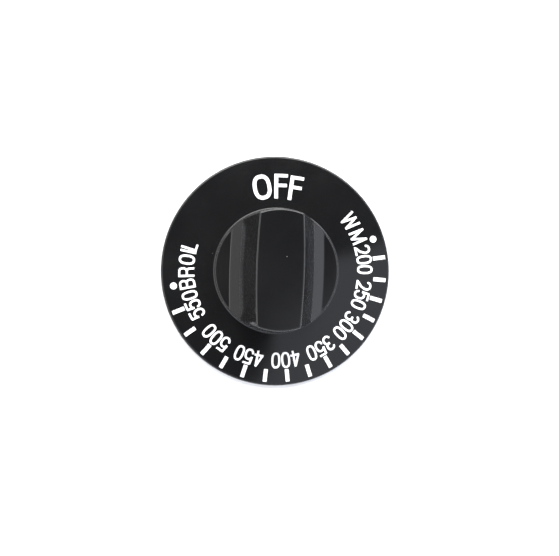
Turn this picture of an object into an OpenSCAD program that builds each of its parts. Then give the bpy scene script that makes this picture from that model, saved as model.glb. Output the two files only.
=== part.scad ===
// Control dial for a cooking appliance's thermostat: one black moulding
// with a conical skirt, a low round plinth and a grip bar across it, and a
// leaf spring in its hub that holds the dial on a D-shaped shaft.
// Origin: centre of the back rim's plane. +Z points out of the dial's face,
// +Y along the grip bar towards the dial's top mark.

/* [Skirt] */
// Outside diameter of the dial
dial_d = 63.5; // [60:0.5:70]
// Height of the point where the skirt's slope would meet its side wall
rim_h = 2.0; // [1.8:0.1:3]
// Rounding of the rim's front edge
rim_round = 0.5; // [0.2:0.1:0.8]
// Slope of the skirt's face
skirt_slope = 8; // [6:0.5:10]
// Wall thickness of the skirt
skirt_wall = 1.7; // [1.4:0.1:1.9]
// Width of the flat ring that the dial rests on
rim_foot = 1.5; // [1:0.1:2.5]

/* [Plinth] */
// Radius of the round plinth under the grip
plinth_r = 17.0; // [16.5:0.1:18]
// Height of the plinth's flat floor above the skirt
plinth_h = 0.8; // [0.75:0.05:1.2]
// Rounding of the plinth's top edge
plinth_round = 0.35; // [0.2:0.05:0.4]
// Fillet between plinth and skirt
plinth_fillet = 0.45; // [0.2:0.05:0.6]

/* [Grip] */
// Height of the grip bar above the skirt's inner edge
grip_h = 12.7; // [11.5:0.1:14]
// Width of the grip's top across its middle
grip_w = 12.7; // [12:0.1:14]
// Plan radius of the grip's long edges, which bow outward
grip_bow = 200; // [150:5:400]
// Half width where the steep flank meets the flared foot
flank_foot = 10.3; // [10:0.1:10.8]
// Height of that line above the skirt's inner edge
flank_foot_h = 2.2; // [1.8:0.1:2.6]
// Half width where the flared foot meets the plinth's floor
flare_foot = 13.2; // [12.5:0.1:13.6]
// Radius of the grip's ends at its top
grip_end_r = 16.5; // [16.2:0.1:16.8]
// Rounding of the grip's top edges
grip_round = 0.35; // [0.2:0.05:0.5]

/* [Hub] */
// Outside diameter of the hub
hub_d = 14.4; // [13.6:0.2:15]
// How far the hub's end stands back from the rim's plane
hub_back = 0.4; // [0.2:0.1:0.6]
// Radius of the shaft hole, for a quarter-inch shaft
bore_r = 3.2; // [3.19:0.01:3.24]
// Distance from the axis to the flat of the D-shaped hole
bore_flat = 2.38; // [2.3:0.01:2.5]
// Height where the shaft hole ends
bore_top = 12.4; // [12.2:0.1:13]
// Radius of the round lead-in at the hub's mouth
lead_r = 3.45; // [3.44:0.01:3.6]
// Height where the round lead-in ends
lead_top = 3.0; // [2.9:0.1:3.2]
// Number of ribs that join the hub to the rim
rib_n = 4; // [4:1:8]
// Thickness of each rib
rib_t = 1.4; // [1:0.1:2]

/* [Spring] */
// Width of the leaf spring
leaf_w = 2.1; // [1.8:0.1:2.1]
// Thickness of the leaf spring
leaf_t = 0.35; // [0.25:0.05:0.4]
// Distance from the axis to the back of the spring's pocket
pocket_back = 3.9; // [3.8:0.1:4.2]

/* [Hidden] */
$fn = 96;
black = "#16171a";
spring_steel = "#a9abad";

R = dial_d / 2;
function slope_z(r) = rim_h + (R - r) * tan(skirt_slope);
// height of the skirt's face where it would reach the plinth's wall
base_z = slope_z(plinth_r);
floor_z = base_z + plinth_h;
top_z = base_z + grip_h;
half_w = grip_w / 2;
// angle of the grip's flank above the horizontal
flank_a = atan2(grip_h - flank_foot_h, flank_foot - half_w);
hub_r = hub_d / 2;
// inner limit of the dish's cone, where its ceiling turns flat
dish_r = 14.8;
function dish_z(r) = slope_z(r) - skirt_wall;
dish_top = dish_z(dish_r);
pocket_w = leaf_w + 0.1;
pocket_top = bore_top - 0.8;

// Half section of the skirt and the plinth, solid down to the back plane.
module skirt_profile() {
    e = rim_round;
    rc = R - e;
    zc = slope_z(rc) - e / cos(skirt_slope);
    polygon([
        [0, 0], [R, 0], [R, zc],
        [rc + e * sin(skirt_slope), zc],
        [rc + e * sin(skirt_slope), zc + e * cos(skirt_slope)],
        [plinth_r - 1, slope_z(plinth_r - 1)],
        [0, slope_z(plinth_r - 1)]
    ]);
    translate([rc, zc]) circle(r = e);
}

module plinth_profile() {
    q = plinth_round;
    polygon([
        [0, 1], [plinth_r, 1], [plinth_r, floor_z - q],
        [plinth_r - q, floor_z - q], [plinth_r - q, floor_z], [0, floor_z]
    ]);
    translate([plinth_r - q, floor_z - q]) circle(r = q);
    // fillet at the plinth's foot
    f = plinth_fillet;
    fr = plinth_r + f;
    fz = slope_z(fr) + f / cos(skirt_slope);
    difference() {
        polygon([
            [plinth_r - 0.5, fz - 1.2], [plinth_r - 0.5, fz], [fr, fz],
            [fr - f * sin(skirt_slope), fz - f * cos(skirt_slope)],
            [fr - f * sin(skirt_slope), fz - 1.2]
        ]);
        translate([fr, fz]) circle(r = f);
    }
}

// Half section of one of the two large discs whose overlap is the grip bar.
module flank_profile() {
    t = grip_round;
    off = grip_bow - half_w;
    cx = half_w - t * (1 - cos(flank_a)) / sin(flank_a);
    cz = top_z - t;
    polygon([
        [0, base_z - 1], [off + flare_foot + 0.6, base_z - 1],
        [off + flare_foot + 0.6, floor_z - 0.3],
        [off + flare_foot, floor_z],
        [off + flank_foot, base_z + flank_foot_h],
        [off + cx + t * sin(flank_a), cz + t * cos(flank_a)],
        [off + cx, cz],
        [off + cx, top_z], [0, top_z]
    ]);
    translate([off + cx, cz]) circle(r = t);
}

// Half section of the round wall that cuts off the grip's two ends.
module end_profile() {
    t = grip_round;
    // the wall leans in by this angle
    a = atan2(grip_h, plinth_r - grip_end_r);
    cx = grip_end_r - t * (1 - cos(a)) / sin(a);
    cz = top_z - t;
    polygon([
        [0, base_z - 1], [plinth_r, base_z - 1], [plinth_r, base_z],
        [cx + t * sin(a), cz + t * cos(a)], [cx, cz], [cx, top_z], [0, top_z]
    ]);
    translate([cx, cz]) circle(r = t);
}

module grip() {
    intersection() {
        translate([-(grip_bow - half_w), 0, 0]) rotate_extrude($fn = 360) flank_profile();
        translate([grip_bow - half_w, 0, 0]) rotate_extrude($fn = 360) flank_profile();
        rotate_extrude() end_profile();
    }
}

// Space under the skirt, around the hub, with the ribs left standing.
module dish() {
    difference() {
        rotate_extrude() polygon([
            [0, -1], [R - rim_foot, -1], [R - rim_foot, dish_z(R - rim_foot)],
            [dish_r, dish_top], [hub_r, dish_top], [hub_r, hub_back],
            [0, hub_back]
        ]);
        for (i = [0:rib_n - 1]) rotate([0, 0, 45 + i * 360 / rib_n])
            translate([hub_r - 1, -rib_t / 2, hub_back])
                cube([R - rim_foot - hub_r + 2, rib_t, 5]);
    }
}

// One of the four cores that keep the grip's walls even.
module core() {
    translate([0, 0, dish_top - 0.5]) linear_extrude(top_z - 2.4 - dish_top + 0.5)
        difference() {
            intersection() {
                translate([0.75, 0]) square([4.05, 20]);
                circle(r = 13.8);
            }
            circle(r = 8.2);
        }
}

module shaft_hole() {
    // D-shaped hole
    translate([0, 0, lead_top - 0.01]) linear_extrude(bore_top - lead_top + 0.01)
        intersection() {
            circle(r = bore_r);
            translate([-5, -5]) square([10, 5 + bore_flat]);
        }
    // round lead-in with a chamfered mouth
    translate([0, 0, -1]) cylinder(h = lead_top + 1, r = lead_r);
    translate([0, 0, hub_back]) cylinder(h = 0.4, r1 = lead_r + 0.4, r2 = lead_r);
    // pocket for the leaf spring, and the notch for its hooked end
    translate([-pocket_w / 2, 0, -1]) cube([pocket_w, pocket_back, pocket_top + 1]);
    translate([-pocket_w / 2, 0, -1]) cube([pocket_w, pocket_back + 1.5, hub_back + leaf_t + 1]);
}

module knob_body() {
    color(black) difference() {
        union() {
            rotate_extrude() {
                skirt_profile();
                plinth_profile();
            }
            grip();
        }
        dish();
        for (mx = [0, 1], my = [0, 1]) mirror([mx, 0, 0]) mirror([0, my, 0]) core();
        shaft_hole();
    }
}

// Leaf spring: hooked at the hub's mouth, flat against the pocket's back,
// then bowed in past the flat of the shaft hole.
module shaft_spring() {
    back = pocket_back;
    z0 = hub_back;
    bow_lo = lead_top + 0.2;
    bow_hi = pocket_top - 0.4;
    half = (bow_hi - bow_lo) / 2;
    sag = back - (bore_flat - 0.18 + leaf_t);
    br = (half * half + sag * sag) / (2 * sag);
    yc = back - sag + br;
    zc = (bow_lo + bow_hi) / 2;
    color(spring_steel) rotate([90, 0, 90]) translate([0, 0, -leaf_w / 2])
        linear_extrude(leaf_w) {
            // hook, shank and foot
            translate([back - leaf_t, z0]) square([leaf_t + 1.3, leaf_t]);
            translate([back - leaf_t, z0]) square([leaf_t, bow_lo - z0 + 0.25]);
            translate([back - leaf_t, bow_hi - 0.25]) square([leaf_t, 0.6]);
            // bowed middle
            intersection() {
                difference() {
                    translate([yc, zc]) circle(r = br + leaf_t);
                    translate([yc, zc]) circle(r = br);
                }
                translate([0, bow_lo]) square([back, bow_hi - bow_lo]);
            }
        }
}

knob_body();
shaft_spring();
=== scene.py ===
import math

import bmesh
import bpy
import numpy as np
from mathutils import Matrix, Vector


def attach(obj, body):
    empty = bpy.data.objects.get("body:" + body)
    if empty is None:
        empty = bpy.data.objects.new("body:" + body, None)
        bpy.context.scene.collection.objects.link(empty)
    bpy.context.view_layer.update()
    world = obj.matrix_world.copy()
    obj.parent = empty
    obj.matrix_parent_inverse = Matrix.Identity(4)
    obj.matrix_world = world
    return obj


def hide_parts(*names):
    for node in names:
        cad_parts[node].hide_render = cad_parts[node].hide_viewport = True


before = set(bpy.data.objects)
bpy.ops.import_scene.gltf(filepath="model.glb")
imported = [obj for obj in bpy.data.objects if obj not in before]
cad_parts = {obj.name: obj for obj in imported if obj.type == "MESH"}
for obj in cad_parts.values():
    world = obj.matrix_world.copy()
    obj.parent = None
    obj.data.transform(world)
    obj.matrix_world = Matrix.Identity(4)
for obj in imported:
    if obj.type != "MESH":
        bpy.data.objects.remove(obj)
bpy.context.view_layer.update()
scene = bpy.context.scene
MM = 0.001

# ---------------------------------------------------------------- camera
# Nearly straight down on the face, a little from the left and below.
CAM_POS = Vector((-39.88, -8.44, 448.15)) * MM
CAM_AIM = Vector((1.303, -1.913, 0.0)) * MM
CAM_ROLL = 1.770
CAM_F_PX = 1617.8
cam_data = bpy.data.cameras.new("camera")
cam = bpy.data.objects.new("camera", cam_data)
scene.collection.objects.link(cam)
scene.camera = cam
cam_data.sensor_width = 36.0
cam_data.lens = 36.0 * CAM_F_PX / 559.0
cam_data.clip_start, cam_data.clip_end = 0.01, 50.0
fwd = (CAM_AIM - CAM_POS).normalized()
right = fwd.cross(Vector((0, 1, 0))).normalized()
up = right.cross(fwd)
ro = math.radians(CAM_ROLL)
right2 = math.cos(ro) * right + math.sin(ro) * up
up2 = -math.sin(ro) * right + math.cos(ro) * up
m = Matrix((right2, up2, -fwd)).transposed().to_4x4()
m.translation = CAM_POS
cam.matrix_world = m
scene.view_settings.view_transform = "Standard"

# ---------------------------------------------------------------- dimensions (mm)
R = 31.75
RIM_H, RIM_ROUND, SLOPE = 2.0, 0.5, 8.0
PL_R, PL_H, PL_ROUND, PL_FIL = 17.0, 0.8, 0.35, 0.45
GRIP_H, GRIP_W, BOW = 12.7, 12.9, 200.0
FLANK_FOOT, FLANK_FOOT_H, FLARE_FOOT = 10.2, 2.2, 13.0
END_R, GRIP_ROUND = 16.5, 0.5
TS = math.tan(math.radians(SLOPE))


def slope_z(r):
    return RIM_H + (R - r) * TS


BASE_Z = slope_z(PL_R)
FLOOR_Z = BASE_Z + PL_H
TOP_Z = BASE_Z + GRIP_H
HALF_W = GRIP_W / 2
DISC_C = BOW - HALF_W
FLANK_A = math.atan2(GRIP_H - FLANK_FOOT_H, FLANK_FOOT - HALF_W)
END_A = math.atan2(GRIP_H, PL_R - END_R)


# ---------------------------------------------------------------- mesh helpers
def link(name, mesh):
    o = bpy.data.objects.new(name, mesh)
    scene.collection.objects.link(o)
    return o


def mesh_from(name, verts, faces):
    me = bpy.data.meshes.new(name)
    me.from_pydata([tuple(v) for v in verts], [], [tuple(f) for f in faces])
    me.validate()
    me.update()
    return me


def stack(loops, close_first=True, close_last=True):
    """Closed loops of equal length, joined by quads; the first and last are capped."""
    n = len(loops[0])
    verts = np.concatenate(loops)
    faces = []
    for k in range(len(loops) - 1):
        a, b = k * n, (k + 1) * n
        for i in range(n):
            j = (i + 1) % n
            faces.append((a + i, a + j, b + j, b + i))
    if close_first:
        faces.append(tuple(range(n))[::-1])
    if close_last:
        o = (len(loops) - 1) * n
        faces.append(tuple(range(o, o + n)))
    return verts, faces


def arc(cx, cz, r, a0, a1, n):
    """Points on an arc, angles in degrees, both ends included."""
    a = np.radians(np.linspace(a0, a1, n))
    return [(cx + r * math.cos(t), cz + r * math.sin(t)) for t in a]


def revolve(profile, n, name):
    """A closed solid from a half section that starts and ends on the axis."""
    prof = [p for p in profile if p[0] > 1e-9]
    ang = np.arange(n) * 2 * np.pi / n
    loops = [np.stack([r * np.cos(ang), r * np.sin(ang), np.full(n, z)], 1) for r, z in prof]
    v, f = stack(loops)
    return mesh_from(name, v, f)


def prism(outline, z0, z1, name, top_in=0.0, top_r=0.0):
    """A vertical prism over a closed outline, drawn in a little at its top."""
    o = np.array(outline, float)
    c = o.mean(0)
    steps = [(z0, 0.0), (z1 - top_r, top_in)]
    if top_r > 0:
        for t in (0.4, 0.75, 1.0):
            a = t * math.pi / 2
            steps.append((z1 - top_r + top_r * math.sin(a), top_in + top_r * (1 - math.cos(a))))
    loops = []
    for z, s in steps:
        d = o - c
        ln = np.linalg.norm(d, axis=1, keepdims=True)
        p = o - d / np.maximum(ln, 1e-9) * s
        loops.append(np.c_[p, np.full(len(p), z)])
    v, f = stack(loops)
    return mesh_from(name, v, f)


def offset_round(points, r, n=5):
    """Rounds the corners of a convex outline (counterclockwise)."""
    out = []
    k = len(points)
    for i in range(k):
        p0, p1, p2 = (np.array(points[(i + d) % k], float) for d in (-1, 0, 1))
        a, b = p0 - p1, p2 - p1
        a /= np.linalg.norm(a)
        b /= np.linalg.norm(b)
        half = math.acos(np.clip(a @ b, -1, 1)) / 2
        t = r / math.tan(half)
        bis = (a + b) / np.linalg.norm(a + b)
        c = p1 + bis * r / math.sin(half)
        s, e = p1 + a * t - c, p1 + b * t - c
        a0, a1 = math.atan2(s[1], s[0]), math.atan2(e[1], e[0])
        while a1 < a0:
            a1 += 2 * math.pi
        for q in np.linspace(a0, a1, n):
            out.append((c[0] + r * math.cos(q), c[1] + r * math.sin(q)))
    return out


def boolean(target, cutter, op="DIFFERENCE"):
    md = target.modifiers.new("b", "BOOLEAN")
    md.operation = op
    md.solver = "EXACT"
    md.object = cutter
    bpy.context.view_layer.update()
    dg = bpy.context.evaluated_depsgraph_get()
    new = bpy.data.meshes.new_from_object(target.evaluated_get(dg))
    target.modifiers.clear()
    old = target.data
    target.data = new
    bpy.data.meshes.remove(old)
    bpy.data.objects.remove(cutter)


# ---------------------------------------------------------------- outer form
NS, NC, NE = 40, 5, 48          # intervals on half a side, on a corner, on half an end


def corner(u, e, q):
    """One quarter of the grip's section: half the long side, the corner, half the end."""
    rd = DISC_C + u
    a, b = rd - q, e - q
    x = (a * a - b * b - DISC_C * DISC_C) / (2 * DISC_C)
    y = math.sqrt(b * b - x * x)
    side = math.atan2(y, x + DISC_C)
    end = math.atan2(y, x)
    pts = []
    for i in range(NS):
        t = side * i / NS
        pts.append((rd * math.cos(t) - DISC_C, rd * math.sin(t)))
    for i in range(NC):
        t = side + (end - side) * i / NC
        pts.append((x + q * math.cos(t), y + q * math.sin(t)))
    for i in range(NE + 1):
        t = end + (math.pi / 2 - end) * i / NE
        pts.append((e * math.cos(t), e * math.sin(t)))
    return pts


def full(quarter):
    """The whole loop from its first quarter; both ends of the quarter lie on an axis."""
    q = np.array(quarter, float)
    p1 = q
    p2 = (q * [-1, 1])[::-1][1:]
    p3 = (q * [-1, -1])[1:]
    p4 = (q * [1, -1])[::-1][1:-1]
    return np.concatenate([p1, p2, p3, p4])


def full_scalar(s):
    s = np.array(s, float)
    return np.concatenate([s, s[::-1][1:], s[1:], s[::-1][1:-1]])


cz = TOP_Z - GRIP_ROUND
cxu = HALF_W - GRIP_ROUND * (1 - math.cos(FLANK_A)) / math.sin(FLANK_A)
cxe = END_R - GRIP_ROUND * (1 - math.cos(END_A)) / math.sin(END_A)
BETA_U = math.pi / 2 - FLANK_A       # elevation of the flank's normal
BETA_E = math.pi / 2 - END_A
tan_u = (cxu + GRIP_ROUND * math.cos(BETA_U), cz + GRIP_ROUND * math.sin(BETA_U))


def flank_u(z):
    """Half width on the flat flank at a height."""
    return tan_u[0] + (tan_u[1] - z) / math.tan(FLANK_A)


def end_r(z):
    return PL_R - (z - BASE_Z) / math.tan(END_A)


profile = []                         # (half width, height, end radius, corner radius)
for k, beta in enumerate(np.radians([90, 84, 76, 68, 60, 52, 44, 36, 28, math.degrees(BETA_U), 12, 5])):
    z = cz + GRIP_ROUND * math.sin(beta)
    e = cxe + GRIP_ROUND * math.cos(beta)
    u = cxu + GRIP_ROUND * math.cos(beta) if beta >= BETA_U - 1e-9 else flank_u(z)
    q = 0.12 + 0.33 * math.cos(beta)
    profile.append((u, z, e, q))
z_first = profile[-1][1]
top_in = [(profile[0][0] - d, TOP_Z, profile[0][2] - d, 0.12) for d in (0.9, 0.3, 0.06)]
profile = top_in + profile

FLARE_A = math.atan2(FLANK_FOOT_H - PL_H, FLARE_FOOT - FLANK_FOOT)
R1, R2 = 0.35, 0.9                   # small radii in the mould where the foot begins and ends
t1 = R1 * math.tan((FLANK_A - FLARE_A) / 2)
p_ff = np.array([FLANK_FOOT, BASE_Z + FLANK_FOOT_H])
d_up = np.array([-math.cos(FLANK_A), math.sin(FLANK_A)])
d_dn = np.array([math.cos(FLARE_A), -math.sin(FLARE_A)])
s1 = p_ff + d_up * t1
n_fl = np.array([math.sin(FLANK_A), math.cos(FLANK_A)])
c1 = s1 + n_fl * R1
zs = list(np.linspace(z_first - 0.12, s1[1] + 0.12, 7)) + [s1[1]]
for z in zs:
    f = (z_first - z) / (z_first - s1[1])
    profile.append((flank_u(z), z, end_r(z), 0.45 + 0.2 * f))
for t in np.linspace(0, 1, 5)[1:]:
    a = math.pi + math.atan2(n_fl[1], n_fl[0]) + t * (FLANK_A - FLARE_A)
    x, z = c1[0] + R1 * math.cos(a), c1[1] + R1 * math.sin(a)
    profile.append((x, z, end_r(z), 0.65 + 0.1 * t))
x1, z1 = profile[-1][:2]
t2 = R2 * math.tan(FLARE_A / 2)
p_fl = np.array([FLARE_FOOT, FLOOR_Z])
s2 = p_fl - d_dn * t2
for t in (0.12, 0.4, 0.7, 1.0):
    x, z = x1 + (s2[0] - x1) * t, z1 + (s2[1] - z1) * t
    profile.append((x, z, end_r(z), 0.75 + 0.15 * t))
c2 = np.array([FLARE_FOOT + t2, FLOOR_Z + R2])
for t in np.linspace(0, 1, 7)[1:]:
    a = -math.pi / 2 - FLARE_A * (1 - t)
    x, z = c2[0] + R2 * math.cos(a), c2[1] + R2 * math.sin(a)
    profile.append((x, z, end_r(z), 0.9))

loops = []
for u, z, e, q in profile:
    xy = full(corner(u, e, q))
    loops.append(np.c_[xy, np.full(len(xy), z)])
foot = loops[-1]
NCOL = len(foot)
th = np.arctan2(foot[:, 1], foot[:, 0])
rf = np.hypot(foot[:, 0], foot[:, 1])
cs, sn = np.cos(th), np.sin(th)


def ring(r, z):
    r = np.broadcast_to(r, (NCOL,))
    z = np.broadcast_to(z, (NCOL,))
    return np.stack([r * cs, r * sn, z], 1)


# how much of the plinth's edge rounding a column has: all beside the grip's foot, none at its ends
quarter_s = []
cusp = math.atan2(foot[NS, 1], foot[NS, 0])
for i in range(NS + NC + NE + 1):
    a = math.atan2(foot[i, 1], foot[i, 0])
    quarter_s.append(min(1.0, max(0.0, (cusp - a) / math.radians(3.2))))
sc = full_scalar(quarter_s)
sc = sc * sc * (3 - 2 * sc)
wall = end_r(FLOOR_Z - PL_ROUND)
zf = foot[0, 2]
edge_r = PL_R - PL_ROUND
bx = sc * np.maximum(edge_r, rf + 0.02) + (1 - sc) * np.maximum(wall - 0.01, rf)
bz = sc * FLOOR_Z + (1 - sc) * (zf - 0.12)
for t in (0.04, 0.3, 0.6, 0.85, 0.96, 1.0):
    loops.append(ring(rf + (bx - rf) * t, zf + (bz - zf) * t))
for t in np.linspace(0, 1, 8)[1:]:
    a = t * math.pi / 2
    ar, az = edge_r + PL_ROUND * math.sin(a), FLOOR_Z - PL_ROUND * (1 - math.cos(a))
    lr, lz = bx + (PL_R - bx) * t, (zf - 0.12) + (FLOOR_Z - PL_ROUND - zf + 0.12) * t
    loops.append(ring(sc * np.maximum(ar, bx) + (1 - sc) * lr, sc * az + (1 - sc) * lz))
fr = PL_R + PL_FIL
fz = slope_z(fr) + PL_FIL / math.cos(math.radians(SLOPE))
for t in np.linspace(0, 1, 8):
    a = math.pi + t * math.radians(90 - SLOPE)
    loops.append(ring(fr + PL_FIL * math.cos(a), fz + PL_FIL * math.sin(a)))
r_in = fr - PL_FIL * math.sin(math.radians(SLOPE))
rc = R - RIM_ROUND
zc = slope_z(rc) - RIM_ROUND / math.cos(math.radians(SLOPE))
r_out = rc + RIM_ROUND * math.sin(math.radians(SLOPE))
for t in (0.012, 0.05, 0.12, 0.2, 0.3, 0.4, 0.5, 0.6, 0.7, 0.8, 0.88, 0.94, 0.98, 0.995):
    r = r_in + (r_out - r_in) * t
    loops.append(ring(r, slope_z(r)))
for t in np.linspace(0, 1, 9):
    a = math.radians(90 - SLOPE) * (1 - t)
    loops.append(ring(rc + RIM_ROUND * math.cos(a), zc + RIM_ROUND * math.sin(a)))
BR = 0.12
loops.append(ring(R, zc - 0.08))
loops.append(ring(R, BR + 0.08))
for t in np.linspace(0, 1, 4):
    a = t * math.pi / 2
    loops.append(ring(R - BR + BR * math.cos(a), BR - BR * math.sin(a)))
loops = loops[::-1]                 # from the back up to the top
v, f = stack(loops)
body = link("dial_body", mesh_from("dial_body", v, f))

# ---------------------------------------------------------------- underside
WALL, FOOT_W, HUB_R, HUB_BACK, DISH_R = 1.7, 1.5, 7.2, 0.4, 14.8
BORE_R, BORE_FLAT, BORE_TOP, LEAD_R, LEAD_TOP = 3.2, 2.38, 12.4, 3.45, 3.0


def dish_z(r):
    return slope_z(r) - WALL


ro_ = R - FOOT_W
prof = [(0.0, -1.0), (ro_ + 0.12, -1.0), (ro_ + 0.12, 0.0)]
prof += [(ro_ + 0.04, 0.06), (ro_, 0.14), (ro_ - 0.02, dish_z(ro_) - 0.12), (ro_ - 0.14, dish_z(ro_ - 0.14))]
prof += [(r, dish_z(r)) for r in (27.0, 23.0, 19.0, 16.4)]
prof += [(15.4, dish_z(15.4) - 0.012), (DISH_R - 0.2, dish_z(DISH_R) - 0.045), (13.0, dish_z(DISH_R) - 0.05)]
zt = dish_z(DISH_R) - 0.05
prof += [(HUB_R + 0.45, zt), (HUB_R + 0.2, zt - 0.06), (HUB_R + 0.06, zt - 0.2), (HUB_R, zt - 0.45)]
prof += [(HUB_R - 0.04, HUB_BACK + 0.25), (HUB_R - 0.11, HUB_BACK + 0.08), (HUB_R - 0.28, HUB_BACK), (0.0, HUB_BACK)]
dish = link("c_dish", revolve(prof, 192, "c_dish"))
for i in range(4):
    w, z0, z1 = 0.7, HUB_BACK + 0.02, 5.0
    # a rib stands out of the dish as a wall with a narrow rounded edge
    sec = [(-w - 0.55, z1), (-w - 0.55, zt + 0.02), (-w - 0.2, zt - 0.06), (-w - 0.05, zt - 0.25), (-w + 0.05, z0 + 0.2),
           (-w + 0.12, z0 + 0.06), (-w + 0.25, z0), (w - 0.25, z0), (w - 0.12, z0 + 0.06), (w - 0.05, z0 + 0.2),
           (w + 0.05, zt - 0.25), (w + 0.2, zt - 0.06), (w + 0.55, zt + 0.02), (w + 0.55, z1)]
    xs = [HUB_R - 1.2, 12.0, 16.0, 20.0, 24.0, R - FOOT_W + 0.6]
    ls = []
    for x in xs:
        # the flared root follows the ceiling as it falls towards the rim
        drop = max(0.0, dish_z(DISH_R) - dish_z(max(x, DISH_R)))
        ls.append(np.array([(x, a, b if b >= z1 else max(z0 + 0.0, b - drop) if b > z0 + 0.3 else b) for a, b in sec]))
    v, f = stack(ls)
    rib = link("c_rib", mesh_from("c_rib", v, f))
    rib.data.transform(Matrix.Rotation(math.radians(45 + 90 * i), 4, "Z"))
    bm = bmesh.new(); bm.from_mesh(rib.data)
    bmesh.ops.recalc_face_normals(bm, faces=bm.faces)
    bm.to_mesh(rib.data); bm.free()
    boolean(dish, rib)

CORE_TOP = TOP_Z - 2.4
for sx in (1, -1):
    for sy in (1, -1):
        a0, a1 = math.asin(0.75 / 13.8), math.asin(4.8 / 13.8)
        b0, b1 = math.asin(0.75 / 8.2), math.asin(4.8 / 8.2)
        outer = [(13.8 * math.sin(t), 13.8 * math.cos(t)) for t in np.linspace(a1, a0, 6)]
        inner = [(8.2 * math.sin(t), 8.2 * math.cos(t)) for t in np.linspace(b0, b1, 6)]
        o = [(sx * x, sy * y) for x, y in outer + inner]
        if sx * sy < 0:
            o = o[::-1]
        core = link("c_core", prism(o, 1.0, CORE_TOP, "c_core", 0.12, 0.5))
        bm = bmesh.new(); bm.from_mesh(core.data)
        bmesh.ops.recalc_face_normals(bm, faces=bm.faces)
        bm.to_mesh(core.data); bm.free()
        boolean(dish, core, "UNION")

# the shaft's hole: a D with a round lead-in and a chamfered mouth
half_a = math.acos(BORE_FLAT / BORE_R)
dshape = [(BORE_R * math.sin(t), BORE_R * math.cos(t)) for t in np.linspace(half_a, 2 * math.pi - half_a, 60)][::-1]
bore = link("c_bore", prism(dshape, 1.5, BORE_TOP, "c_bore", 0.0, 0.0))
leadp = [(0, -1), (LEAD_R + 0.42, -1), (LEAD_R + 0.42, HUB_BACK), (LEAD_R + 0.4, HUB_BACK + 0.01), (LEAD_R + 0.02, HUB_BACK + 0.39),
         (LEAD_R, HUB_BACK + 0.45), (LEAD_R, LEAD_TOP), (0, LEAD_TOP)]
lead = link("c_lead", revolve(leadp, 96, "c_lead"))
boolean(bore, lead, "UNION")
LEAF_W, LEAF_T, POCKET_BACK = 2.1, 0.35, 3.9
pw, pt = (LEAF_W + 0.1) / 2, BORE_TOP - 0.8
slot1 = link("c_slot", prism([(-pw, 0), (pw, 0), (pw, POCKET_BACK), (-pw, POCKET_BACK)], -0.9, pt, "c_slot"))
boolean(bore, slot1, "UNION")
slot2 = link("c_slot", prism([(-pw, 1), (pw, 1), (pw, POCKET_BACK + 1.5), (-pw, POCKET_BACK + 1.5)], -0.8, HUB_BACK + LEAF_T, "c_slot"))
boolean(bore, slot2, "UNION")
boolean(dish, bore, "UNION")
for o in (body, dish):
    bm = bmesh.new(); bm.from_mesh(o.data)
    bmesh.ops.recalc_face_normals(bm, faces=bm.faces)
    bm.to_mesh(o.data); bm.free()
boolean(body, dish)

bm = bmesh.new()
bm.from_mesh(body.data)
bmesh.ops.remove_doubles(bm, verts=bm.verts, dist=1e-5)
bmesh.ops.recalc_face_normals(bm, faces=bm.faces)
for fc in bm.faces:
    fc.smooth = True
for ed in bm.edges:
    if len(ed.link_faces) == 2:
        ed.smooth = ed.calc_face_angle(0.0) < math.radians(32)
print("dial_body open edges", sum(1 for ed in bm.edges if len(ed.link_faces) != 2), "volume mm3", round(bm.calc_volume(), 1),
      "tris", sum(len(fc.verts) - 2 for fc in bm.faces))
bm.to_mesh(body.data)
bm.free()
body.data.transform(Matrix.Scale(MM, 4))
wn = body.modifiers.new("normals", "WEIGHTED_NORMAL")
wn.mode = "FACE_AREA"
wn.weight = 50
wn.keep_sharp = True
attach(body, "root")
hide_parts("knob_body")


# ---------------------------------------------------------------- printed scale
# A glyph is a set of strokes in its own frame, x to the right, y up, heights from 0 to H.
def seg_sdf(X, Y, p, q, hw, flat_p, flat_q):
    d = np.array(q, float) - p
    ln = math.hypot(*d)
    d = d / ln
    a = (X - p[0]) * d[0] + (Y - p[1]) * d[1]
    b = np.abs(-(X - p[0]) * d[1] + (Y - p[1]) * d[0])
    lo = -a
    hi = a - ln
    if not flat_p:
        cap_p = np.hypot(np.minimum(a, 0), b) - hw
    if not flat_q:
        cap_q = np.hypot(np.maximum(a - ln, 0), b) - hw
    side = b - hw
    box = np.maximum(side, np.maximum(lo, hi))
    ox, oy = np.maximum(side, 0), np.maximum(np.maximum(lo, hi), 0)
    out = np.where((side > 0) & (np.maximum(lo, hi) > 0), np.hypot(ox, oy), box)
    if not flat_p:
        out = np.where(a < ln * 0.5, cap_p, out)
    if not flat_q:
        out = np.where(a >= ln * 0.5, cap_q, out)
    return out


def strokes_sdf(X, Y, strokes, rnd):
    best = np.full(X.shape, 1e9)
    for s in strokes:
        pts = np.array(s["p"], float)
        hw = s["w"] / 2 - rnd
        fa, fb = s.get("flat", (True, True))
        closed = s.get("closed", False)
        n = len(pts)
        pairs = [(i, (i + 1) % n) for i in range(n if closed else n - 1)]
        for k, (i, j) in enumerate(pairs):
            p, q = pts[i].copy(), pts[j].copy()
            d = (q - p) / max(np.linalg.norm(q - p), 1e-9)
            fp = (not closed) and k == 0 and fa
            fq = (not closed) and k == len(pairs) - 1 and fb
            if fp:
                p = p + d * rnd
            if fq:
                q = q - d * rnd
            if np.linalg.norm(q - p) < 1e-6:
                continue
            best = np.minimum(best, seg_sdf(X, Y, p, q, hw, fp, fq))
    for s in strokes:
        if "cut" in s:
            (px, py), (nx, ny) = s["cut"]
            best = np.maximum(best, (X - px) * nx + (Y - py) * ny)
    return best - rnd


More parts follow.
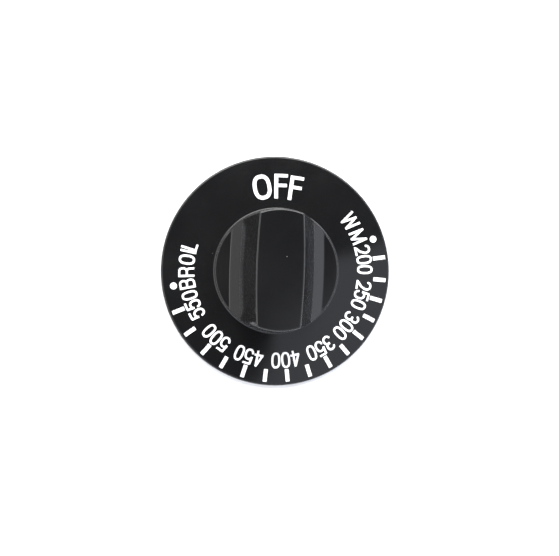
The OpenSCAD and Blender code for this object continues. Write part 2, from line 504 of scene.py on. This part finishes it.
def contours(F, x0, y0, h):
    """Closed contour loops of F = 0, inside negative, as lists of points."""
    ny, nx = F.shape
    nxt = {}
    pos = {}

    def cross(i, j, k, l):
        key = (i, j, k, l) if (i, j) < (k, l) else (k, l, i, j)
        if key not in pos:
            a, b = F[key[0], key[1]], F[key[2], key[3]]
            t = a / (a - b)
            pos[key] = (x0 + h * (key[1] + t * (key[3] - key[1])), y0 + h * (key[0] + t * (key[2] - key[0])))
        return key

    S = F < 0
    mixed = np.argwhere(~((S[:-1, :-1] == S[1:, :-1]) & (S[:-1, :-1] == S[:-1, 1:]) & (S[:-1, :-1] == S[1:, 1:])))
    for i, j in mixed:
        c = [(i, j), (i, j + 1), (i + 1, j + 1), (i + 1, j)]
        s = [bool(S[p]) for p in c]
        ent, ext = [], []
        for k in range(4):
            p, q = c[k], c[(k + 1) % 4]
            if s[k] and not s[(k + 1) % 4]:
                ext.append((k, cross(*p, *q)))
            elif not s[k] and s[(k + 1) % 4]:
                ent.append((k, cross(*p, *q)))
        for k, e in ext:
            # the contour runs from where the cell's edge leaves the inside to where it next enters it
            best = min(ent, key=lambda t: (t[0] - k) % 4)
            nxt[e] = best[1]
    out = []
    left = set(nxt)
    while left:
        start = next(iter(sorted(left)[:1]))
        loop, cur = [], start
        while cur in left:
            left.discard(cur)
            loop.append(pos[cur])
            cur = nxt[cur]
        if len(loop) > 6:
            out.append(np.array(loop))
    return out


def simplify(loop, tol):
    """Keeps the points of a closed loop that matter."""
    n = len(loop)
    keep = np.zeros(n, bool)
    a = 0
    b = int(np.argmax(np.hypot(*(loop - loop[0]).T)))
    keep[[a, b]] = True
    todo = [(a, b), (b, a + n)]
    while todo:
        i, j = todo.pop()
        if j - i < 2:
            continue
        idx = np.arange(i + 1, j) % n
        p, q = loop[i % n], loop[j % n]
        d = q - p
        ln = np.linalg.norm(d)
        dist = np.abs((loop[idx] - p) @ np.array([-d[1], d[0]])) / max(ln, 1e-9) if ln > 1e-9 else np.hypot(*(loop[idx] - p).T)
        k = int(np.argmax(dist))
        if dist[k] > tol:
            m_ = i + 1 + k
            keep[m_ % n] = True
            todo += [(i, m_), (m_, j)]
    return loop[keep]


def ell(cx, cy, rx, ry, a0, a1, n=24, pw=2.0):
    """Points on a superellipse, angles in degrees counterclockwise from +x."""
    out = []
    for t in np.radians(np.linspace(a0, a1, n)):
        c, s = math.cos(t), math.sin(t)
        out.append((cx + rx * math.copysign(abs(c) ** (2 / pw), c), cy + ry * math.copysign(abs(s) ** (2 / pw), s)))
    return out


def ring_stroke(cx, cy, rx, ry, w, pw=2.5):
    return {"p": ell(cx, cy, rx, ry, 0, 360, 61, pw)[:-1], "w": w, "closed": True}


def line(*p, w, flat=(True, True)):
    return {"p": list(p), "w": w, "flat": flat}


def digit(ch, H, W, w):
    """A digit of height H and width W, centred on x = 0, with strokes w wide."""
    h = w / 2
    l, r_, b, t = -W / 2 + h, W / 2 - h, h, H - h
    if ch == "0":
        return [ring_stroke(0, H / 2, W / 2 - h, H / 2 - h, w, 2.6)]
    if ch == "2":
        ry = (t - b) * 0.275
        cy = t - ry
        hook = ell(0, cy, r_, ry, 172, -12, 26, 2.2)
        tail = [(r_ * 0.86, cy - ry * 0.62), (r_ * 0.30, b + (t - b) * 0.30), (-W * 0.18, b + (t - b) * 0.14), (l + 0.04, b + 0.06)]
        return [line(*(hook + tail), w=w, flat=(True, False)), line((l - h + 0.02, b), (r_ + h, b), w=w)]
    if ch == "3":
        r1 = (t - b) * 0.245
        r2 = (t - b) * 0.275
        up_ = ell(0, t - r1, r_ * 0.93, r1, 165, -90, 30, 2.2)
        dn = ell(0, b + r2, r_, r2, 90, -165, 30, 2.2)
        my = (t - 2 * r1 + b + 2 * r2) / 2
        up_[-1] = (0.02, my)
        dn[0] = (0.02, my)
        return [line(*up_, w=w, flat=(True, False)), line(*dn, w=w, flat=(False, True)), line((-W * 0.12, my), (0.05, my), w=w)]
    if ch == "4":
        by = b + (t - b) * 0.245
        xs = W * 0.16
        return [line((xs, 0), (xs, H), w=w), line((-W / 2, by), (W / 2 + 0.02, by), w=w),
                line((xs - 0.10, t + h * 0.2), (-W / 2 + h * 0.9, by + 0.02), w=w, flat=(False, False))]
    if ch == "5":
        ry = (t - b) * 0.345
        bowl = ell(0, b + ry, r_, ry, 118, -168, 34, 2.3)
        return [line((l + 0.20, t), (r_ + h * 0.7, t), w=w), line((l + 0.20 - 0.02, t + h * 0.5), (l + 0.02, b + (t - b) * 0.47), w=w, flat=(True, True)),
                line(*([(l + 0.02, b + (t - b) * 0.50), (-W * 0.24, b + 2 * ry - 0.03)] + bowl), w=w, flat=(True, True))]
    raise ValueError(ch)


def letter(ch, H, W, w, wb=None):
    """A capital of height H and width W; wb is the stroke of its bars."""
    wb = wb or w
    h, hb = w / 2, wb / 2
    l, r_, b, t = -W / 2 + h, W / 2 - h, hb, H - hb
    if ch == "O":
        return [ring_stroke(0, H / 2, W / 2 - h, H / 2 - hb, w, 2.5)]
    if ch == "F":
        return [line((l, 0), (l, H), w=w), line((l - h, t), (W / 2, t), w=wb), line((l - h, H * 0.535), (W / 2 - W * 0.07, H * 0.535), w=wb)]
    if ch == "I":
        return [line((0, 0), (0, H), w=w)]
    if ch == "L":
        return [line((l, 0), (l, H), w=w), line((l - h, b), (W / 2, b), w=wb)]
    if ch == "W":
        q = W / 4
        return [line((-W / 2 + h * 0.9, H), (-q * 0.98, h * 0.6), w=w, flat=(True, False)), line((-q * 0.98, h * 0.6), (0, H - h * 0.8), w=w, flat=(False, False)),
                line((0, H - h * 0.8), (q * 0.98, h * 0.6), w=w, flat=(False, False)), line((q * 0.98, h * 0.6), (W / 2 - h * 0.9, H), w=w, flat=(False, True))]
    if ch == "M":
        return [line((l - 0.02, 0), (l + 0.06, H - h * 0.3), w=w), line((l + 0.06, H - h), (0, h * 0.8), w=w, flat=(False, False)),
                line((0, h * 0.8), (r_ - 0.06, H - h), w=w, flat=(False, False)), line((r_ + 0.02, 0), (r_ - 0.06, H - h * 0.3), w=w)]
    if ch == "B":
        my = H * 0.52
        r1, r2 = (t - my) / 2, (my - b) / 2
        x0 = W * 0.04
        up_ = [(l, t), (x0, t)] + ell(x0, my + r1, (r_ - x0) * 0.92, r1, 90, -90, 16, 2.3) + [(l, my)]
        dn = [(l, my), (x0, my)] + ell(x0, b + r2, r_ - x0, r2, 90, -90, 16, 2.3) + [(l, b)]
        return [line((l, 0), (l, H), w=w), line(*up_, w=wb), line(*dn, w=wb)]
    if ch == "R":
        my = H * 0.47
        r1 = (t - my) / 2
        x0 = W * 0.04
        up_ = [(l, t), (x0, t)] + ell(x0, my + r1, r_ - x0, r1, 90, -90, 16, 2.3) + [(l, my)]
        leg = [(x0 + 0.02, my), (r_ * 0.62, my - 0.16), (r_ * 0.88, my - 0.55), (r_ * 0.93, 0)]
        return [line((l, 0), (l, H), w=w), line(*up_, w=wb), line(*leg, w=w * 0.95, flat=(False, True))]
    raise ValueError(ch)


GRID = 0.03
INK_UP, INK_DN = 0.022, 0.03


def on_cone(x, y, dz):
    return (x, y, slope_z(math.hypot(x, y)) + dz)


def glyph_mesh(name, strokes, place, rnd=0.06, tol=0.006):
    """Fills the strokes' outline and lays it on the skirt. place maps a glyph point to the face."""
    allp = np.concatenate([np.array(s["p"], float) for s in strokes])
    pad = max(s["w"] for s in strokes) + 4 * GRID
    lo, hi = allp.min(0) - pad, allp.max(0) + pad
    nx, ny = (int(math.ceil(v / GRID)) + 1 for v in hi - lo)
    X, Y = np.meshgrid(lo[0] + GRID * np.arange(nx), lo[1] + GRID * np.arange(ny))
    F = strokes_sdf(X, Y, strokes, rnd)
    F[F == 0] = 1e-9
    ls = [simplify(c, tol) for c in contours(F, lo[0], lo[1], GRID)]
    cu = bpy.data.curves.new(name, "CURVE")
    cu.dimensions = "2D"
    cu.fill_mode = "BOTH"
    cu.extrude = 1.0
    for c in ls:
        sp = cu.splines.new("POLY")
        sp.points.add(len(c) - 1)
        for k, (x, y) in enumerate(c):
            sp.points[k].co = (x, y, 0, 1)
        sp.use_cyclic_u = True
    ob = bpy.data.objects.new(name, cu)
    scene.collection.objects.link(ob)
    bpy.context.view_layer.update()
    me = bpy.data.meshes.new_from_object(ob.evaluated_get(bpy.context.evaluated_depsgraph_get()))
    bpy.data.objects.remove(ob)
    bpy.data.curves.remove(cu)
    for vtx in me.vertices:
        x, y = place(vtx.co.x, vtx.co.y)
        vtx.co = on_cone(x, y, INK_UP if vtx.co.z > 0 else -INK_DN)
    return me


def placer(px, py, rot):
    """Glyph frame to the face: its origin goes to (px, py), turned rot degrees clockwise."""
    a = math.radians(-rot)
    c, s = math.cos(a), math.sin(a)
    return lambda x, y: (px + c * x - s * y, py + s * x + c * y)


def polar(r, deg):
    a = math.radians(deg)
    return r * math.sin(a), r * math.cos(a)


ink_parts = {}


def put(group, me):
    ink_parts.setdefault(group, []).append(me)


DH, DW, DSW = 4.42, 2.49, 0.575
D_R = 24.78
ADV = 6.35
SCALE = {"200": 81, "250": 104, "300": 126, "350": 148.3, "400": 172, "450": 196, "500": 220, "550": 246}
for txt, ang in SCALE.items():
    for k, ch in enumerate(txt):
        a = ang + (k - 1) * ADV
        px, py = polar(D_R - DH / 2, a)
        put("scale_" + txt, glyph_mesh("g" + txt, digit(ch, DH, DW, DSW), placer(px, py, a)))
TICKS = [81, 93, 104, 115, 126, 137, 148.3, 160, 172, 184, 196, 208, 220, 233, 246]
for a in TICKS:
    px, py = polar(27.3, a)
    put("scale_ticks", glyph_mesh("tick", [line((0, 0), (0, 3.5), w=1.1)], placer(px, py, a), 0.12))
for a in (70.2, 259.8):
    px, py = polar(28.57, a)
    dot = [{"p": ell(0, 0, 0.475, 0.475, 0, 360, 33)[:-1], "w": 0.95, "closed": True}, line((-0.2, 0), (0.2, 0), w=0.8)]
    put("scale_dots", glyph_mesh("dot", dot, placer(px, py, a), 0.02, 0.003))

# letters: middle of each glyph as (radius, angle), and how far it is turned
OFF_H = 6.86
for ch, ang, rot, W in (("O", -11.36, -11.1, 5.05), ("F", 2.0, -0.5, 3.75), ("F", 12.6, 7.15, 3.75)):
    px, py = polar(20.0, ang) if ch == "O" else polar(20.0, ang)
    put("scale_off", glyph_mesh("off", letter(ch, OFF_H, W, 1.03, 0.92), placer(px, py, rot), 0.1))
for ch, ang, rot, W in (("W", 54.5, 54.5, 4.3), ("M", 65.6, 65.6, 3.55)):
    px, py = polar(D_R - DH / 2, ang)
    put("scale_wm", glyph_mesh("wm", letter(ch, DH, W, 0.62), placer(px, py, rot)))
for ch, ang, rot, W in (("B", 260.0, 257.5, 2.65), ("R", 267.4, 267.0, 2.7), ("O", 275.2, 276.0, 2.75), ("I", 280.5, 281.0, 0.62), ("L", 283.9, 286.0, 2.0)):
    px, py = polar(D_R - DH / 2, ang)
    put("scale_broil", glyph_mesh("broil", letter(ch, DH, W, 0.6, 0.56), placer(px, py, rot)))

ink_objects = []
for group, parts in ink_parts.items():
    bm = bmesh.new()
    for me in parts:
        bm.from_mesh(me)
        bpy.data.meshes.remove(me)
    bmesh.ops.remove_doubles(bm, verts=bm.verts, dist=1e-5)
    bmesh.ops.recalc_face_normals(bm, faces=bm.faces)
    me = bpy.data.meshes.new(group)
    bm.to_mesh(me)
    print(group, "open edges", sum(1 for ed in bm.edges if len(ed.link_faces) != 2), "tris", sum(len(fc.verts) - 2 for fc in bm.faces))
    bm.free()
    me.transform(Matrix.Scale(MM, 4))
    ob = link(group, me)
    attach(ob, "root")
    ink_objects.append(ob)


# ---------------------------------------------------------------- materials
class G:
    """Short calls for shader nodes."""

    def __init__(self, tree):
        self.t, self.n, self.l = tree, tree.nodes, tree.links

    def node(self, kind, **kw):
        x = self.n.new(kind)
        for k, val in kw.items():
            setattr(x, k, val)
        return x

    def put(self, sock, val):
        if isinstance(val, bpy.types.NodeSocket):
            self.l.new(val, sock)
        elif val is not None:
            sock.default_value = val

    def math(self, op, a, b=None, c=None, clamp=False):
        x = self.node("ShaderNodeMath", operation=op, use_clamp=clamp)
        for i, val in enumerate((a, b, c)):
            self.put(x.inputs[i], val)
        return x.outputs[0]

    def ramp(self, v_, a, b, lo=0.0, hi=1.0, smooth=True):
        x = self.node("ShaderNodeMapRange", interpolation_type="SMOOTHSTEP" if smooth else "LINEAR")
        x.clamp = True
        for i, val in enumerate((v_, a, b, lo, hi)):
            self.put(x.inputs[i], val)
        return x.outputs[0]

    def noise(self, vec, scale, detail=2.0, rough=0.5, dist=0.0):
        x = self.node("ShaderNodeTexNoise")
        self.put(x.inputs["Vector"], vec)
        self.put(x.inputs["Scale"], scale)
        self.put(x.inputs["Detail"], detail)
        self.put(x.inputs["Roughness"], rough)
        self.put(x.inputs["Distortion"], dist)
        return x.outputs["Fac"]

    def mapping(self, vec, scale=(1, 1, 1), rot=(0, 0, 0), loc=(0, 0, 0)):
        x = self.node("ShaderNodeMapping")
        self.put(x.inputs["Vector"], vec)
        x.inputs["Scale"].default_value = scale
        x.inputs["Rotation"].default_value = rot
        x.inputs["Location"].default_value = loc
        return x.outputs[0]

    def mix(self, fac, a, b):
        x = self.node("ShaderNodeMix", data_type="RGBA")
        self.put(x.inputs[0], fac)
        self.put(x.inputs[6], a)
        self.put(x.inputs[7], b)
        return x.outputs[2]


def new_mat(name):
    mt = bpy.data.materials.new(name)
    mt.use_nodes = True
    mt.node_tree.nodes.clear()
    g = G(mt.node_tree)
    out = g.node("ShaderNodeOutputMaterial")
    bs = g.node("ShaderNodeBsdfPrincipled")
    g.l.new(bs.outputs[0], out.inputs[0])
    return mt, g, bs


# glossy black moulding
mat_black, g, bs = new_mat("black_moulding")
obj = g.node("ShaderNodeTexCoord").outputs["Object"]
broad = g.noise(g.mapping(obj, (90, 90, 90)), 1.0, 3.0, 0.55)
fine = g.noise(g.mapping(obj, (2600, 2600, 2600)), 1.0, 2.0, 0.5)
orange = g.noise(g.mapping(obj, (520, 520, 520)), 1.0, 2.0, 0.5)
tint = g.mix(broad, (0.0050, 0.0050, 0.0054, 1), (0.0072, 0.0073, 0.0076, 1))
vor = g.node("ShaderNodeTexVoronoi", feature="F1")
g.put(vor.inputs["Vector"], g.mapping(obj, (620, 620, 620)))
vor.inputs["Scale"].default_value = 1.0
sep = g.node("ShaderNodeSeparateColor")
g.l.new(vor.outputs["Color"], sep.inputs[0])
speck = g.math("MULTIPLY", g.ramp(vor.outputs["Distance"], 0.10, 0.05), g.ramp(sep.outputs[0], 0.975, 0.98))
speck = g.math("MULTIPLY", speck, 0.35)
colour = g.mix(speck, tint, (0.35, 0.35, 0.36, 1))
g.put(bs.inputs["Base Color"], colour)
rough = g.ramp(broad, 0.3, 0.7, 0.07, 0.115, False)
rough = g.math("ADD", rough, g.math("MULTIPLY", fine, 0.03))
g.put(bs.inputs["Roughness"], rough)
bs.inputs["IOR"].default_value = 1.5
bump = g.node("ShaderNodeBump")
bump.inputs["Strength"].default_value = 0.25
bump.inputs["Distance"].default_value = 0.000004
g.put(bump.inputs["Height"], g.math("ADD", g.math("MULTIPLY", orange, 1.0), g.math("MULTIPLY", fine, 0.25)))
g.l.new(bump.outputs[0], bs.inputs["Normal"])

# white ink
mat_ink, g, bs = new_mat("white_print")
obj = g.node("ShaderNodeTexCoord").outputs["Object"]
cloud = g.noise(g.mapping(obj, (900, 900, 900)), 1.0, 3.0, 0.6)
g.put(bs.inputs["Base Color"], g.mix(cloud, (0.74, 0.745, 0.75, 1), (0.86, 0.86, 0.86, 1)))
bs.inputs["Roughness"].default_value = 0.45
bump = g.node("ShaderNodeBump")
bump.inputs["Strength"].default_value = 0.4
bump.inputs["Distance"].default_value = 0.00001
g.put(bump.inputs["Height"], g.noise(g.mapping(obj, (3000, 3000, 3000)), 1.0, 2.0, 0.5))
g.l.new(bump.outputs[0], bs.inputs["Normal"])

# bright spring strip
mat_steel, g, bs = new_mat("spring_steel")
obj = g.node("ShaderNodeTexCoord").outputs["Object"]
streak = g.noise(g.mapping(obj, (9000, 300, 300)), 1.0, 3.0, 0.6)
g.put(bs.inputs["Base Color"], g.mix(streak, (0.42, 0.42, 0.41, 1), (0.62, 0.62, 0.60, 1)))
bs.inputs["Metallic"].default_value = 1.0
g.put(bs.inputs["Roughness"], g.ramp(streak, 0.3, 0.7, 0.18, 0.36, False))
bump = g.node("ShaderNodeBump")
bump.inputs["Strength"].default_value = 0.3
bump.inputs["Distance"].default_value = 0.000005
g.put(bump.inputs["Height"], streak)
g.l.new(bump.outputs[0], bs.inputs["Normal"])

# floor
mat_floor, g, bs = new_mat("floor_paper")
obj = g.node("ShaderNodeTexCoord").outputs["Object"]
paper = g.noise(g.mapping(obj, (60, 60, 60)), 1.0, 4.0, 0.6)
g.put(bs.inputs["Base Color"], g.mix(paper, (0.90, 0.90, 0.90, 1), (0.93, 0.93, 0.93, 1)))
bs.inputs["Roughness"].default_value = 0.9
bs.inputs["Specular IOR Level"].default_value = 0.2

body.data.materials.clear()
body.data.materials.append(mat_black)
for ob in ink_objects:
    ob.data.materials.clear()
    ob.data.materials.append(mat_ink)
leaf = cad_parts["shaft_spring"]
leaf.data.materials.clear()
leaf.data.materials.append(mat_steel)

# ---------------------------------------------------------------- floor
n = 128
ang = np.arange(n) * 2 * np.pi / n
fl = [np.stack([r * np.cos(ang), r * np.sin(ang), np.zeros(n)], 1) for r in (0.0310, 0.06, 0.12, 0.3, 0.8, 2.5)]
fv, ff = stack(fl, False, False)
floor = link("floor", mesh_from("floor", fv, ff))
floor.data.materials.append(mat_floor)

# ---------------------------------------------------------------- light
# A white tent with a dark opening overhead, one broad panel to the lower right of the opening and a strong one beyond the top.
world = bpy.data.worlds.new("tent")
scene.world = world
world.use_nodes = True
world.node_tree.nodes.clear()
g = G(world.node_tree)
wout = g.node("ShaderNodeOutputWorld")
bg = g.node("ShaderNodeBackground")
g.l.new(bg.outputs[0], wout.inputs[0])
d = g.node("ShaderNodeTexCoord").outputs["Generated"]
sx = g.node("ShaderNodeSeparateXYZ")
g.l.new(d, sx.inputs[0])
X, Y, Z = sx.outputs
zz = g.math("MAXIMUM", Z, 0.02)
U = g.math("DIVIDE", X, zz)
V = g.math("DIVIDE", Y, zz)


def above(val, edge, w):
    return g.ramp(val, edge - w, edge + w)


def below(val, edge, w):
    return g.ramp(val, edge - w, edge + w, 1.0, 0.0)


def mul(*xs):
    r = xs[0]
    for x_ in xs[1:]:
        r = g.math("MULTIPLY", r, x_)
    return r


def add(*xs):
    r = xs[0]
    for x_ in xs[1:]:
        r = g.math("ADD", r, x_)
    return r


def rect(u0, u1, v0, v1, w):
    return mul(above(U, u0, w), below(U, u1, w), above(V, v0, w), below(V, v1, w))


# the dark opening, as the largest of how far a direction is past each of its sides
open_out = g.math("MAXIMUM", g.math("MAXIMUM", g.math("SUBTRACT", U, 0.55), g.math("SUBTRACT", -0.33, U)),
                  g.math("MAXIMUM", g.math("SUBTRACT", V, 0.45), g.math("SUBTRACT", -0.40, V)))
tent = g.ramp(open_out, 0.0, 0.10)
left = mul(below(U, -0.36, 0.04), above(U, -0.95, 0.15), above(V, -1.2, 0.3), below(V, 1.2, 0.3))
top = mul(above(V, 0.50, 0.06), below(V, 2.2, 0.5), above(U, -0.9, 0.3), below(U, 1.1, 0.3))
rightl = mul(above(U, 0.75, 0.15), below(U, 6.0, 2.0), above(V, -2.0, 0.5), below(V, 1.5, 0.4))
# the panel's own two edges
ucut = g.math("MINIMUM", 0.096, g.math("MULTIPLY_ADD", g.math("ADD", V, 0.3108), 1.99, 0.1048))
edge_a = g.math("MULTIPLY_ADD", g.math("SUBTRACT", U, 0.1056), 0.3085, -0.0031)
edge_b = g.math("MULTIPLY_ADD", g.math("SUBTRACT", U, 0.4255), 1.44, 0.0956)
vcut = g.math("MAXIMUM", edge_a, edge_b)
panel = mul(g.ramp(g.math("SUBTRACT", U, ucut), -0.010, 0.010), g.ramp(g.math("SUBTRACT", vcut, V), -0.006, 0.010))
patch = rect(0.050, 0.097, 0.0095, 0.0305, 0.002)
patch2 = rect(0.030, 0.058, 0.004, 0.034, 0.005)

base = 0.02
lum = add(base, mul(tent, 1.15), mul(left, 2.0), mul(top, 7.5), mul(rightl, 0.7),
          mul(panel, g.math("SUBTRACT", 1.0, tent), 0.85), mul(patch, 0.22), mul(patch2, 0.45))
# under the horizon: the same white as the floor, so that the ground has no visible end
low = g.ramp(Z, -0.01, 0.01)
lum = add(mul(lum, low), mul(g.math("SUBTRACT", 1.0, low), 1.3))
warm = g.mix(g.math("ADD", panel, rightl, clamp=True), (1.0, 1.0, 1.0, 1), (0.93, 0.965, 1.06, 1))
vm = g.node("ShaderNodeVectorMath", operation="SCALE")
g.l.new(warm, vm.inputs[0])
g.l.new(lum, vm.inputs["Scale"])
g.l.new(vm.outputs[0], bg.inputs["Color"])
bg.inputs["Strength"].default_value = 1.0
world.cycles.sampling_method = "MANUAL"
world.cycles.sample_map_resolution = 2048
